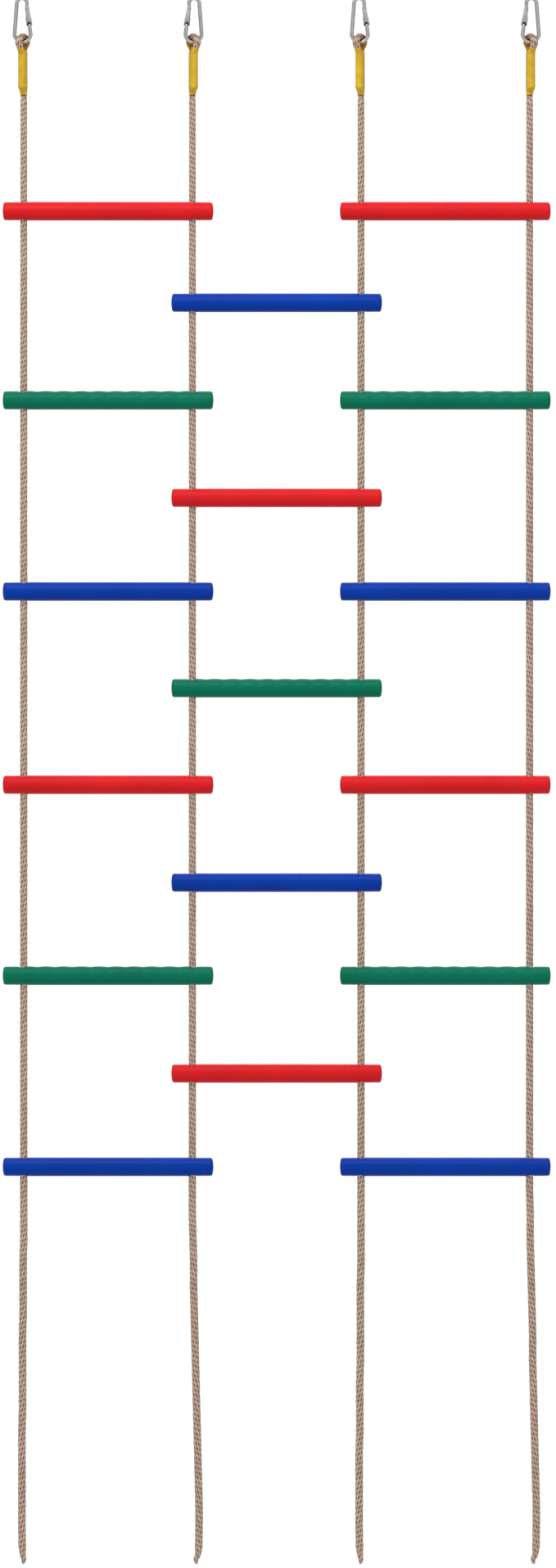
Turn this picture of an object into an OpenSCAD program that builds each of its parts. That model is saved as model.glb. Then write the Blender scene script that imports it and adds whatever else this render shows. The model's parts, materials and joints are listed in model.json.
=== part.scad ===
// Rope ladder, three rungs wide, hung from four snap hooks.
// X runs along the rungs, Y from front to back and Z up. The origin is midway along the line
// on which the hooks hang: z = 0 is the inner top of each hook's upper bow.

/* [Ladder] */
// Distance between neighbouring ropes
rope_gap = 280; // [240:5:320]
// Depth of the first side row below the hanging line
first_row = 350; // [320:5:420]
// Distance between side rows
side_pitch = 317.5; // [300:2.5:340]
// Depth of the first middle row below the first side row
middle_drop = 152.5; // [145:2.5:165]
// Distance between middle rows
middle_pitch = 320; // [310:2.5:330]

/* [Rungs] */
// Length of a rung
rung_len = 350; // [330:5:380]
// Outer diameter of a rung
rung_d = 31; // [28:1:34]
// Wall thickness of a rung
rung_wall = 3; // [2:0.5:4]
// Radius of a rung's rounded end corner
rung_corner = 5; // [3:0.5:7]
// Diameter of the holes that the ropes go through
rope_hole_d = 14.4; // [14:0.1:16]
// Distance of those holes from the rope's line, towards the rung's ends
rope_hole_shift = 0.8; // [0:0.1:1]

/* [Ropes] */
// Diameter of the ropes
rope_d = 12; // [11:0.5:12]
// Diameter of the rope where it is pulled tight in the eye
eye_rope_d = 10.6; // [10:0.2:11]
// Distance of a row's folding line below the row
fold_drop = 39; // [36:1:44]
// Distance from a folding line up to the centre of the rope's round end above it
fold_reach = 14.2; // [14:0.1:16]

/* [Hooks] */
// Diameter of a hook's steel bar
bar_d = 6.4; // [6:0.1:7]
// Bend radius of a hook's upper bow, on the bar's centreline
upper_bow_r = 8.5; // [8:0.25:9]
// Bend radius of a hook's lower bow, on the bar's centreline
lower_bow_r = 13.35; // [13:0.05:14]
// Depth of the lower bow's lowest centreline point
bow_depth = 69.5; // [69:0.5:70]

/* [Sleeves] */
// Top of a sleeve, as a depth below the hanging line
sleeve_top = 78; // [76:1:80]
// Depth at which the rope's returned end stops and the sleeve narrows
sleeve_step = 146; // [140:1:150]
// Bottom of a sleeve, as a depth below the hanging line
sleeve_end = 159; // [155:1:165]
// Radius of a sleeve round one rope
sleeve_r = 7; // [6.8:0.1:7.2]
// Wall thickness of a sleeve
sleeve_wall = 0.7; // [0.5:0.1:0.8]

/* [Hidden] */
$fn = 48;

SIDE_ROWS = 6;
MIDDLE_ROWS = 5;
ROWS = SIDE_ROWS + MIDDLE_ROWS;
ROPES = 4;

// Ropes, counted from the left. Hooks and eyes on ropes 2 and 4 mirror those on 1 and 3.
function rope_x(n) = (n - 2.5) * rope_gap;
function hand(n) = n % 2 == 1 ? 1 : -1;

// Rows, counted from the top: the odd ones are side rows and the even ones are middle rows
function is_side(k) = k % 2 == 1;
// How far below its nominal depth each row is screwed on, being set by hand
ROW_SLIP = [0.5, 0, -3, 4, -3, 0, 0.5, 3, 0, 0, 0];
function row_depth(k) = ROW_SLIP[k - 1] + (is_side(k)
    ? first_row + side_pitch * (k - 1) / 2
    : first_row + middle_drop + middle_pitch * (k / 2 - 1));
function fold_depth(k) = row_depth(k) + fold_drop;

rope_r = rope_d / 2;
eye_rope_r = eye_rope_d / 2;
bar_r = bar_d / 2;
rung_r = rung_d / 2;

// Colours
RED = "#e6282d";
GREEN = "#00825f";
BLUE = "#0041aa";
ROPE_COLOR = "#b8a083";
STEEL_COLOR = "#b4b4af";
SLEEVE_COLOR = "#e0b428";
function side_color(i) = [RED, GREEN, BLUE][(i - 1) % 3];
function middle_color(i) = [BLUE, RED, GREEN][(i - 1) % 3];

// Screws that fix a rung to its ropes
screw_r = 1.75;
screw_hole_r = 1.85;
screw_head_r = 3.5;
screw_head_h = 2;
screw_tip_y = -4;

// ---------- Swept tubes ----------

function unit(v) = v / norm(v);

// Direction of a route at its point i
function tangent(route, i) =
    unit(route[min(i + 1, len(route) - 1)] - route[max(i - 1, 0)]);

// One ring of points round a route's point, set out from the direction of first
function ring(centre, along, first, r, sides) =
    let (across = unit(first - (along * first) * along), third = cross(along, across))
    [for (s = [0:sides - 1])
        centre + r * (cos(360 * s / sides) * across + sin(360 * s / sides) * third)];

// A tube through the route's points, which may not run along the direction of first
module tube(route, radii, sides, first = [1, 0, 0]) {
    rings = len(route);
    points = [for (i = [0:rings - 1])
        each ring(route[i], tangent(route, i), first, radii[i], sides)];
    walls = [for (i = [0:rings - 2], s = [0:sides - 1])
        let (t = (s + 1) % sides)
        [i * sides + s, (i + 1) * sides + s, (i + 1) * sides + t, i * sides + t]];
    start = [for (s = [0:sides - 1]) s];
    end = [for (s = [sides - 1:-1:0]) (rings - 1) * sides + s];
    polyhedron(points, concat(walls, [start], [end]), convexity = 4);
}

// ---------- Rungs ----------

// A solid of revolution about X with rounded end corners
module rounded_bar(length, r, corner) {
    rotate([0, 90, 0])
    rotate_extrude() {
        translate([0, -length / 2 + corner]) square([r, length - 2 * corner]);
        translate([0, -length / 2]) square([r - corner, length]);
        for (s = [-1, 1])
            translate([r - corner, s * (length / 2 - corner)]) circle(corner);
    }
}

module rope_hole(side) {
    translate([side * (rope_gap / 2 + rope_hole_shift), 0, -rung_r - 1])
    cylinder(r = rope_hole_d / 2, h = rung_d + 2);
}

module screw_hole(side) {
    translate([side * rope_gap / 2, 0, 0])
    rotate([-90, 0, 0])
    cylinder(r = screw_hole_r, h = rung_r + 1);
}

module rung(x, k, paint) {
    color(paint)
    translate([x, 0, -row_depth(k)])
    difference() {
        rounded_bar(rung_len, rung_r, rung_corner);
        rounded_bar(rung_len - 2 * rung_wall, rung_r - rung_wall, rung_corner - rung_wall / 2);
        for (side = [-1, 1]) {
            rope_hole(side);
            screw_hole(side);
        }
    }
}

// ---------- Rung screws ----------

module rung_screw(x, k) {
    translate([x, 0, -row_depth(k)])
    rotate([-90, 0, 0]) {
        translate([0, 0, screw_tip_y]) cylinder(r = screw_r, h = rung_r - screw_tip_y);
        difference() {
            translate([0, 0, rung_r]) cylinder(r = screw_head_r, h = screw_head_h);
            for (a = [0, 90])
                rotate(a)
                translate([-2, -0.4, rung_r + screw_head_h - 1]) cube([4, 0.8, 2]);
        }
    }
}

function screwed_ropes(k) = is_side(k) ? [1, 2, 3, 4] : [2, 3];

module rung_screws(k) {
    color(STEEL_COLOR)
    for (n = screwed_ropes(k)) rung_screw(rope_x(n), k);
}

// ---------- Ropes ----------

eye_end = 180;

function has(list, n) = len([for (v = list) if (v == n) v]) > 0;

// The length of rope that goes with row k, from the folding line above to the one below
module rope_length(n, k) {
    top = k == 1 ? eye_end : fold_depth(k - 1);
    bottom = fold_depth(k) - fold_reach;
    difference() {
        union() {
            translate([rope_x(n), 0, -bottom]) cylinder(r = rope_r, h = bottom - top);
            translate([rope_x(n), 0, -bottom]) sphere(rope_r);
            if (k > 1) translate([rope_x(n), 0, -top]) sphere(rope_r);
        }
        if (has(screwed_ropes(k), n))
            translate([rope_x(n), screw_tip_y, -row_depth(k)])
            rotate([-90, 0, 0])
            cylinder(r = screw_r, h = rope_d);
    }
}

module ropes(k) {
    color(ROPE_COLOR)
    for (n = [1:ROPES]) rope_length(n, k);
}

// ---------- Free tails ----------

// How far each tail wanders sideways, every 40 mm down from its folding line
TAIL_WANDER = [
    [0, 0, 0, -1, -1, -1, -2, -2, -2, -2, -3, -3, -3, -3, -3, -2],
    [0, 0, 1, 2, 2, 3, 4, 5, 6, 7, 8, 9, 10, 11, 11, 10],
    [0, 0, 0, 0, -1, -1, -1, -1, -2, -2, -2, -3, -3, -3, -3, -2],
    [0, 1, 1, 2, 3, 4, 5, 5, 6, 7, 8, 9, 10, 11, 11, 10]
];
TAIL_TIP = [[-1, 0.5], [7, -0.5], [-1, 0.5], [7, -0.5]];
tail_step = 40;
tail_tip_depth = 622;
tail_point_r = 1.5;

function tail_route(n) = concat(
    [for (i = [0:len(TAIL_WANDER[n - 1]) - 1])
        [rope_x(n) + TAIL_WANDER[n - 1][i], 0, -fold_depth(ROWS) - i * tail_step]],
    [[rope_x(n) + TAIL_TIP[n - 1].x + TAIL_TIP[n - 1].y * 2, 0, -fold_depth(ROWS) - tail_tip_depth + 10],
     [rope_x(n) + TAIL_TIP[n - 1].x, 0, -fold_depth(ROWS) - tail_tip_depth]]
);

module tail(n) {
    route = tail_route(n);
    radii = [for (i = [0:len(route) - 1])
        i < len(route) - 2 ? rope_r : (i < len(route) - 1 ? rope_r * 0.7 : tail_point_r)];
    color(ROPE_COLOR)
    tube(route, radii, 12);
}

// ---------- Hooks ----------

// Centres of the two bows in XZ, for a hook whose gate is on the right of its rope
upper_bow = [-3, -upper_bow_r + bar_r];
lower_bow = [-1.95, -bow_depth + lower_bow_r];
bow_line = lower_bow - upper_bow;
// Direction in which the straight spine lies from both bows' centres
spine_angle = atan2(bow_line.y, bow_line.x) - 90
    - asin((lower_bow_r - upper_bow_r) / norm(bow_line)) + 360;
upper_bow_end = -12;
nose_tip = [9.2, -38.5];
nose_neck = 5;
nose_neck_r = 2.9;
gate_pin = [5.6, -13];
gate_pin_r = 1.5;
gate_pin_hole_r = 1.55;
tang_y = 1.5;
tang_r = 3;

function on_circle(centre, r, a) = centre + r * [cos(a), sin(a)];

// Points round a bow, from angle a0 to a1 in equal steps
function bow_points(centre, r, a0, a1, steps) =
    [for (i = [0:steps]) on_circle(centre, r, a0 + (a1 - a0) * i / steps)];

// The bent bar's centreline in XZ, from the gate's end to just before the nose
bar_line = concat(
    bow_points(upper_bow, upper_bow_r, upper_bow_end, spine_angle, 14),
    bow_points(lower_bow, lower_bow_r, spine_angle, 360, 14)
);
bow_tip = bar_line[0];
nose_root = bar_line[len(bar_line) - 1];
nose_way = unit(nose_tip - nose_root);
neck = nose_tip - nose_neck * nose_way;
neck_step = 0.5;

module hook(n) {
    line = concat(bar_line, [neck, neck + neck_step * nose_way, nose_tip]);
    radii = [for (i = [0:len(line) - 1]) i < len(line) - 2 ? bar_r : nose_neck_r];
    color(STEEL_COLOR)
    translate([rope_x(n), 0, 0])
    scale([hand(n), 1, 1])
    difference() {
        union() {
            tube([for (p = line) [p.x, 0, p.y]], radii, 16, [0, 1, 0]);
            translate([gate_pin.x - tang_r, -tang_y, gate_pin.y])
            cube([2 * tang_r, 2 * tang_y, bow_tip.y - gate_pin.y + 1]);
            translate([gate_pin.x, tang_y, gate_pin.y])
            rotate([90, 0, 0])
            cylinder(r = tang_r, h = 2 * tang_y);
        }
        translate([gate_pin.x, 5, gate_pin.y])
        rotate([90, 0, 0])
        cylinder(r = gate_pin_r, h = 10);
    }
}

// ---------- Gates ----------

// Gates are drawn with their pin at the origin and their length down Z, then leaned
gate_lean = atan2(nose_tip.x - gate_pin.x, gate_pin.y - nose_tip.y);
gate_len = 29.5;
gate_r = 5;
gate_inner_r = 4.1;
gate_mouth = 4.8;
ear_r = 3.7;
ear_end = 12;
flare_end = 19;

module placed_gate(n) {
    translate([rope_x(n), 0, 0])
    scale([hand(n), 1, 1])
    translate([gate_pin.x, 0, gate_pin.y])
    rotate([0, -gate_lean, 0])
    children();
}

// The channel's section: round towards the spine and open towards the nose
module channel(r) {
    circle(r);
    translate([0, -r]) square([2 * r, 2 * r]);
}

// The gate seen from the front
module gate_outline() {
    ear = [for (a = [180:-15:0]) ear_r * [cos(a), sin(a)]];
    polygon(concat(ear, [
        [ear_r, -ear_end], [gate_mouth, -flare_end], [gate_mouth, -gate_len],
        [-gate_r, -gate_len], [-gate_r, -flare_end], [-ear_r, -ear_end]
    ]));
}

module gate(n) {
    color(STEEL_COLOR)
    placed_gate(n)
    difference() {
        intersection() {
            translate([0, 0, -gate_len]) linear_extrude(gate_len + ear_r) channel(gate_r);
            translate([0, 10, 0]) rotate([90, 0, 0]) linear_extrude(20) gate_outline();
        }
        translate([0, 0, -gate_len - 1]) linear_extrude(gate_len + ear_r + 2) channel(gate_inner_r);
        translate([0, 10, 0]) rotate([90, 0, 0]) cylinder(r = gate_pin_hole_r, h = 20);
    }
}

// ---------- Gate springs ----------

spring_wire_r = 0.5;
spring_r = 2.3;
spring_turns = 9;
spring_pitch = 0.9;
spring_top = 4.2;

module gate_spring(n) {
    color(STEEL_COLOR)
    placed_gate(n)
    for (i = [0:spring_turns - 1])
        translate([0, 0, -spring_top - i * spring_pitch])
        rotate_extrude()
        translate([spring_r, 0]) circle(spring_wire_r, $fn = 24);
}

// ---------- Gate pins ----------

pin_half = 5.8;
pin_head_h = 0.6;
pin_head_r = 2.2;

module gate_pins() {
    color(STEEL_COLOR)
    for (n = [1:ROPES])
        translate([rope_x(n) + hand(n) * gate_pin.x, 0, gate_pin.y])
        rotate([90, 0, 0]) {
            translate([0, 0, -pin_half]) cylinder(r = gate_pin_r, h = 2 * pin_half);
            for (z = [-pin_half, pin_half - pin_head_h])
                translate([0, 0, z]) cylinder(r = pin_head_r, h = pin_head_h);
        }
}

// ---------- Rope eyes ----------

// Half width and height of the loop round the bar, and how far it hangs below the bar's centre
loop_half = 14;
loop_rise = 11;
loop_slack = 1;
loop_turn = 21;
leg_half = 6;
leg_turn = 12;
// How far the sleeved legs lie from the rope's line, towards the hook's spine
leg_shift = 1.5;
close_depth = 92;
loop_depth = bow_depth + loop_slack;

function smooth(t) = let (c = max(0, min(1, t))) c * c * (3 - 2 * c);

// How far the two legs have come together at a depth
function closing(depth) = smooth((depth - loop_depth) / (close_depth - loop_depth));

// A point of the eye: its distance across from the middle, at a depth
function eye_point(across, depth) =
    let (turn = loop_turn + (leg_turn - loop_turn) * closing(depth))
    let (shift = lower_bow.x * (1 - closing(depth)) - leg_shift * closing(depth) * settle(depth))
    [across * sin(turn) + shift, across * cos(turn), -depth];

function leg_across(depth) = loop_half + (leg_half - loop_half) * closing(depth);

// The standing leg runs back from the sleeve to the rope's own line
function settle(depth) = 1 - smooth((depth - sleeve_step + 8) / (eye_end - sleeve_step + 4));

function eye_route() = concat(
    [for (d = [sleeve_step:-11:close_depth + 4]) eye_point(-leg_half, d)],
    [for (d = [close_depth:-4:loop_depth + 2]) eye_point(-leg_across(d), d)],
    [for (a = [180:-15:0]) eye_point(loop_half * cos(a), loop_depth - loop_rise * sin(a))],
    [for (d = [loop_depth + 2:4:close_depth]) eye_point(leg_across(d), d)],
    [for (d = [close_depth + 10:11:eye_end - 12]) eye_point(leg_half * settle(d), d)],
    [eye_point(0, eye_end - 5), eye_point(0, eye_end)]
);

module rope_eyes() {
    route = eye_route();
    radii = [for (p = route) eye_rope_r];
    color(ROPE_COLOR)
    for (n = [1:ROPES])
        translate([rope_x(n), 0, 0])
        scale([hand(n), 1, 1])
        tube(route, radii, 12);
}

// ---------- Seizings and sleeves ----------

seizing_h = 6;
seizing_r = 6.2;
SEIZING_DEPTHS = [104, 132];

// Two round ropes side by side, with the space between them filled
module pair(half, r) {
    rotate(90 - leg_turn) {
        for (s = [-1, 1]) translate([s * half, 0]) circle(r);
        translate([-half, -r]) square([2 * half, 2 * r]);
    }
}

module at_depth(n, depth) {
    translate([rope_x(n) - hand(n) * leg_shift, 0, -depth])
    scale([hand(n), 1, 1])
    children();
}

module eye_seizings() {
    color(STEEL_COLOR)
    for (n = [1:ROPES], depth = SEIZING_DEPTHS)
        at_depth(n, depth)
        linear_extrude(seizing_h)
        difference() {
            pair(leg_half, seizing_r);
            pair(leg_half, eye_rope_r);
        }
}

mouth_depth = 90;
mouth_half = 9;
// Centre of the sleeve's foot, which goes round the standing leg alone as it comes forward
foot_forward = 1;
foot = [leg_half * sin(leg_turn), leg_half * cos(leg_turn) - foot_forward];

module eye_sleeve(n) {
    difference() {
        union() {
            at_depth(n, mouth_depth) linear_extrude(mouth_depth - sleeve_top) pair(mouth_half, sleeve_r);
            at_depth(n, sleeve_step) linear_extrude(sleeve_step - mouth_depth) pair(leg_half, sleeve_r);
            at_depth(n, sleeve_end)
            translate([foot.x, foot.y, 0])
            cylinder(r = sleeve_r, h = sleeve_end - sleeve_step);
        }
        at_depth(n, mouth_depth - sleeve_wall)
        linear_extrude(mouth_depth - sleeve_top)
        pair(mouth_half, sleeve_r - sleeve_wall);
        at_depth(n, sleeve_step - sleeve_wall)
        linear_extrude(sleeve_step - mouth_depth)
        pair(leg_half, sleeve_r - sleeve_wall);
        at_depth(n, sleeve_end + 1)
        translate([foot.x, foot.y, 0])
        cylinder(r = sleeve_r - sleeve_wall, h = sleeve_end - sleeve_step + 3);
    }
}

module eye_sleeves() {
    color(SLEEVE_COLOR)
    for (n = [1:ROPES]) eye_sleeve(n);
}

// ---------- Assembly ----------

for (i = [1:SIDE_ROWS]) {
    rung(-rope_gap, 2 * i - 1, side_color(i));
    rung(rope_gap, 2 * i - 1, side_color(i));
}
for (i = [1:MIDDLE_ROWS])
    rung(0, 2 * i, middle_color(i));
for (k = [1:ROWS]) {
    ropes(k);
    rung_screws(k);
}
for (n = [1:ROPES]) {
    tail(n);
    hook(n);
    gate(n);
    gate_spring(n);
}
gate_pins();
rope_eyes();
eye_seizings();
eye_sleeves();
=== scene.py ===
"""Rope ladder, three rungs wide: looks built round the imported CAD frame. Metres, Z up, front at -Y."""

import json
import math

import bmesh
import bpy
import numpy as np
from mathutils import Matrix, Vector


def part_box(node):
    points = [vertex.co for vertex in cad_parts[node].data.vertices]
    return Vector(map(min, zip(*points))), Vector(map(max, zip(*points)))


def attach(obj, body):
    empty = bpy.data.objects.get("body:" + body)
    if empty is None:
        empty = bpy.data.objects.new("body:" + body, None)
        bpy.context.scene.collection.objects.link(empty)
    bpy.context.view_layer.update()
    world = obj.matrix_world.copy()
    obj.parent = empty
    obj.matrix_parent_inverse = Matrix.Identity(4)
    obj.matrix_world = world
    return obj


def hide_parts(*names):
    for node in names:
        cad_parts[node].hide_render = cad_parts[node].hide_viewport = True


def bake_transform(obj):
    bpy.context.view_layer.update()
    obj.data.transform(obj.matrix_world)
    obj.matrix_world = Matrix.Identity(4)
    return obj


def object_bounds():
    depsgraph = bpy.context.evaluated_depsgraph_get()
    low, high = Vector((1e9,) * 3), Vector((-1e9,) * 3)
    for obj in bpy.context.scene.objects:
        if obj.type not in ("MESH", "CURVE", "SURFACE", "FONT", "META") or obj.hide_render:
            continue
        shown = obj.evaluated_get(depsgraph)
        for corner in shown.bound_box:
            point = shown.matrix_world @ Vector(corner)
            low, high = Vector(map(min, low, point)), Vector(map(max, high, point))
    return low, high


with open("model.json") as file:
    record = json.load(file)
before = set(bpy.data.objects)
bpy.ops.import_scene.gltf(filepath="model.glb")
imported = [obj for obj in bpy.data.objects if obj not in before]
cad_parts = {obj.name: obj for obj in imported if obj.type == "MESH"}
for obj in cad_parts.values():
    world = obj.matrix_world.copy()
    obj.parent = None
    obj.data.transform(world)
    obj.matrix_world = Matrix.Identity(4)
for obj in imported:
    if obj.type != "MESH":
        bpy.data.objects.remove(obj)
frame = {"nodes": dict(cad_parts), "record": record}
cad_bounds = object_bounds()
MM = 0.001

# ---------------------------------------------------------------- places, from the frame
JOINTS = {j["name"]: j for j in frame["record"]["behaviour"]["joints"]}
ROPES = (1, 2, 3, 4)
ROWS = range(1, 12)
LAST_ROW = 11


def middle(node):
    """The middle of a node's box in the frame."""
    low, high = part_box(node)
    return (Vector(low) + Vector(high)) / 2


ROPE_X = {n: JOINTS[f"tail_bend_{n}"]["pos_m"][0] for n in ROPES}
ROW_Z = {k: middle(f"rung_screws_{k}").z for k in ROWS}
FOLD_Z = {k: JOINTS[f"fold_{k}"]["pos_m"][2] for k in range(1, LAST_ROW)}
FOLD_Z[LAST_ROW] = JOINTS["tail_bend_1"]["pos_m"][2]


def hand(n):
    """Hooks, eyes and braids on ropes 2 and 4 mirror those on 1 and 3."""
    return 1 if n % 2 else -1


# ---------------------------------------------------------------- camera, light and floor
PHOTO_HEIGHT = 2.604
PHOTO_CENTRE = (0.0022, -1.3017)
CAMERA_AWAY = 4
LIT_MIDDLE = (0, 0, -1.3)
SKY_SHOWN = 1.05
SKY_COLOUR = (0.97, 0.98, 1, 1)
SKY_TOWARD = (-0.08, -0.3, 0.95)
SKY_DIM = 0.02
SKY_BRIGHT = 0.95
FLOOR_GAP = 0.006
FLOOR_HALF = 12


def make_camera():
    data = bpy.data.cameras.new("camera")
    data.type = "ORTHO"
    data.ortho_scale = PHOTO_HEIGHT
    data.clip_end = 5 * CAMERA_AWAY
    camera = bpy.data.objects.new("camera", data)
    bpy.context.scene.collection.objects.link(camera)
    camera.location = (PHOTO_CENTRE[0], -CAMERA_AWAY, PHOTO_CENTRE[1])
    camera.rotation_euler = (math.radians(90), 0, 0)
    bpy.context.scene.camera = camera


def area_light(name, place, target, size, power):
    """A soft box: size is its width and height in metres, power is in watts."""
    data = bpy.data.lights.new(name, "AREA")
    data.shape = "RECTANGLE"
    data.size, data.size_y = size
    data.energy = power
    light = bpy.data.objects.new(name, data)
    bpy.context.scene.collection.objects.link(light)
    light.location = place
    light.rotation_euler = (Vector(target) - Vector(place)).to_track_quat("-Z", "Y").to_euler()


def make_world():
    """White behind the object. What lights it is bright above and in front, and dim behind."""
    world = bpy.data.worlds.new("studio")
    bpy.context.scene.world = world
    world.use_nodes = True
    nodes, links = world.node_tree.nodes, world.node_tree.links
    nodes.clear()
    out = nodes.new("ShaderNodeOutputWorld")
    mix = nodes.new("ShaderNodeMixShader")
    path = nodes.new("ShaderNodeLightPath")
    shown = nodes.new("ShaderNodeBackground")
    lit = nodes.new("ShaderNodeBackground")
    where = nodes.new("ShaderNodeTexCoord")
    toward = nodes.new("ShaderNodeVectorMath")
    spread = nodes.new("ShaderNodeMapRange")
    shown.inputs["Color"].default_value = (1, 1, 1, 1)
    shown.inputs["Strength"].default_value = SKY_SHOWN
    lit.inputs["Color"].default_value = SKY_COLOUR
    toward.operation = "DOT_PRODUCT"
    toward.inputs[1].default_value = SKY_TOWARD
    spread.interpolation_type = "SMOOTHSTEP"
    spread.inputs["From Min"].default_value = -1
    spread.inputs["To Min"].default_value = SKY_DIM
    spread.inputs["To Max"].default_value = SKY_BRIGHT
    links.new(where.outputs["Generated"], toward.inputs[0])
    links.new(toward.outputs["Value"], spread.inputs["Value"])
    links.new(spread.outputs["Result"], lit.inputs["Strength"])
    links.new(path.outputs["Is Camera Ray"], mix.inputs["Fac"])
    links.new(lit.outputs[0], mix.inputs[1])
    links.new(shown.outputs[0], mix.inputs[2])
    links.new(mix.outputs[0], out.inputs["Surface"])


def make_floor(height):
    """A plain pale floor under the tails."""
    mesh = bpy.data.meshes.new("floor")
    signs = ((-1, -1), (1, -1), (1, 1), (-1, 1))
    mesh.from_pydata([(FLOOR_HALF * x, FLOOR_HALF * y, height) for x, y in signs], [], [(0, 1, 2, 3)])
    mesh.materials.append(floor_material())
    floor = bpy.data.objects.new("floor", mesh)
    bpy.context.scene.collection.objects.link(floor)


make_camera()
make_world()
area_light("key", place=(-0.9, -2.5, 3.0), target=LIT_MIDDLE, size=(2.4, 2.0), power=112)
area_light("fill", place=(2.2, -2.8, -0.6), target=(0, 0, -1.4), size=(1.6, 2.6), power=5)
area_light("back", place=(0.6, 3.0, 1.0), target=LIT_MIDDLE, size=(2.0, 2.4), power=22)
bpy.context.scene.view_settings.view_transform = "Standard"


# ---------------------------------------------------------------- materials
class Shader:
    """A helper round one Principled material's node tree. Its textures follow the object."""

    def __init__(self, name, **constants):
        self.material = bpy.data.materials.new(name)
        self.material.use_nodes = True
        self.nodes = self.material.node_tree.nodes
        self.links = self.material.node_tree.links
        self.principled = self.nodes["Principled BSDF"]
        for key, value in constants.items():
            self.principled.inputs[key.replace("_", " ")].default_value = value
        self.coordinates = self.nodes.new("ShaderNodeTexCoord").outputs["Object"]

    def noise(self, scale, detail=3.0, stretch=(1, 1, 1), source=None):
        mapping = self.nodes.new("ShaderNodeMapping")
        mapping.inputs["Scale"].default_value = stretch
        self.links.new(source or self.coordinates, mapping.inputs["Vector"])
        texture = self.nodes.new("ShaderNodeTexNoise")
        texture.inputs["Scale"].default_value = scale
        texture.inputs["Detail"].default_value = detail
        self.links.new(mapping.outputs[0], texture.inputs["Vector"])
        return texture.outputs["Fac"]

    def attribute(self, name, output="Fac"):
        node = self.nodes.new("ShaderNodeAttribute")
        node.attribute_name = name
        return node.outputs[output]

    def ramp(self, value, *stops):
        node = self.nodes.new("ShaderNodeValToRGB")
        self.links.new(value, node.inputs["Fac"])
        elements = node.color_ramp.elements
        while len(elements) < len(stops):
            elements.new(0.5)
        for element, (position, colour) in zip(elements, stops):
            element.position = position
            element.color = (*colour, 1)
        return node.outputs["Color"]

    def scaled(self, value, low, high):
        node = self.nodes.new("ShaderNodeMapRange")
        node.inputs["To Min"].default_value = low
        node.inputs["To Max"].default_value = high
        self.links.new(value, node.inputs["Value"])
        return node.outputs["Result"]

    def mixed(self, a, b, amount, kind="MIX"):
        node = self.nodes.new("ShaderNodeMix")
        node.data_type = "RGBA"
        node.blend_type = kind
        self._fill(node.inputs[6], a)
        self._fill(node.inputs[7], b)
        if isinstance(amount, float):
            node.inputs[0].default_value = amount
        else:
            self.links.new(amount, node.inputs[0])
        return node.outputs[2]

    def _fill(self, socket, value):
        if isinstance(value, tuple):
            socket.default_value = (*value, 1)
        else:
            self.links.new(value, socket)

    def use(self, **sockets):
        for key, value in sockets.items():
            self.links.new(value, self.principled.inputs[key.replace("_", " ")])

    def bump(self, height, strength, distance):
        node = self.nodes.new("ShaderNodeBump")
        node.inputs["Strength"].default_value = strength
        node.inputs["Distance"].default_value = distance
        self.links.new(height, node.inputs["Height"])
        self.links.new(node.outputs[0], self.principled.inputs["Normal"])


def shade(colour, factor):
    """A colour made darker or lighter."""
    return tuple(c * factor for c in colour)


def plastic(name, colour):
    """Satin moulded plastic: faint clouding, fine orange peel, lengthwise handling marks."""
    s = Shader(name, Specular_IOR_Level=0.08)
    cloud = s.noise(9, 3)
    s.use(Base_Color=s.ramp(cloud, (0.3, shade(colour, 0.92)), (0.7, shade(colour, 1.05))))
    marks = s.noise(120, 4, stretch=(0.08, 1, 1))
    s.use(Roughness=s.scaled(marks, 0.34, 0.48))
    s.bump(s.noise(900, 2), 0.12, 0.0002)
    return s.material


def rope_material():
    """Braided beige yarn with lengthwise fibres, and painted shade: brown in the gaps, lighter on the
    crowns.
    """
    s = Shader("rope", Specular_IOR_Level=0.2, Sheen_Roughness=0.5)
    # Painted shade: how high the braid stands sets how light the yarn is.
    depth = s.attribute("braid_shading")
    lay = s.attribute("lay", "Vector")
    fibre = s.noise(3.2, 3, stretch=(1.0, 0.09, 1), source=lay)
    tone = s.noise(14, 3)
    base = s.ramp(
        depth,
        (0.0, (0.05, 0.02, 0.012)),
        (0.36, (0.24, 0.13, 0.085)),
        (0.64, (0.56, 0.405, 0.31)),
        (1.0, (0.8, 0.64, 0.53)),
    )
    fibres = s.ramp(fibre, (0.3, (0.72, 0.7, 0.68)), (0.62, (1.0, 1.0, 1.0)))
    patches = s.ramp(tone, (0.3, (0.9, 0.88, 0.84)), (0.7, (1.0, 1.0, 1.0)))
    yarn = s.mixed(s.mixed(base, fibres, 1.0, "MULTIPLY"), patches, 1.0, "MULTIPLY")
    # The amber tint, with the same painted shade in the gaps.
    amber_yarn = s.ramp(depth, (0.0, (0.16, 0.06, 0.004)), (1.0, (0.6, 0.28, 0.015)))
    amber_tint = s.attribute("amber_tint")
    s.use(Base_Color=s.mixed(yarn, amber_yarn, amber_tint))
    s.use(Sheen_Weight=s.scaled(amber_tint, 0.25, 0.03))
    s.use(Roughness=s.scaled(fibre, 0.72, 0.92))
    s.bump(fibre, 0.5, 0.0004)
    return s.material


INSIDE_SHADE = 0.16


def metal(name, colour, rough):
    """Plated steel: faint mottling, fine draw lines, and painted shade on faces marked as inside."""
    s = Shader(name, Metallic=1.0, Specular_IOR_Level=0.5)
    mottle = s.noise(160, 4)
    unshaded = s.ramp(mottle, (0.3, shade(colour, 0.82)), (0.7, colour))
    # Painted shade: faces marked as inside take a dark copy of the colour.
    s.use(Base_Color=s.mixed(unshaded, shade(colour, INSIDE_SHADE), s.attribute("inside")))
    s.use(Roughness=s.scaled(s.noise(420, 3), rough * 0.8, rough * 1.3))
    s.bump(s.noise(1500, 2), 0.08, 0.0001)
    return s.material


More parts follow.
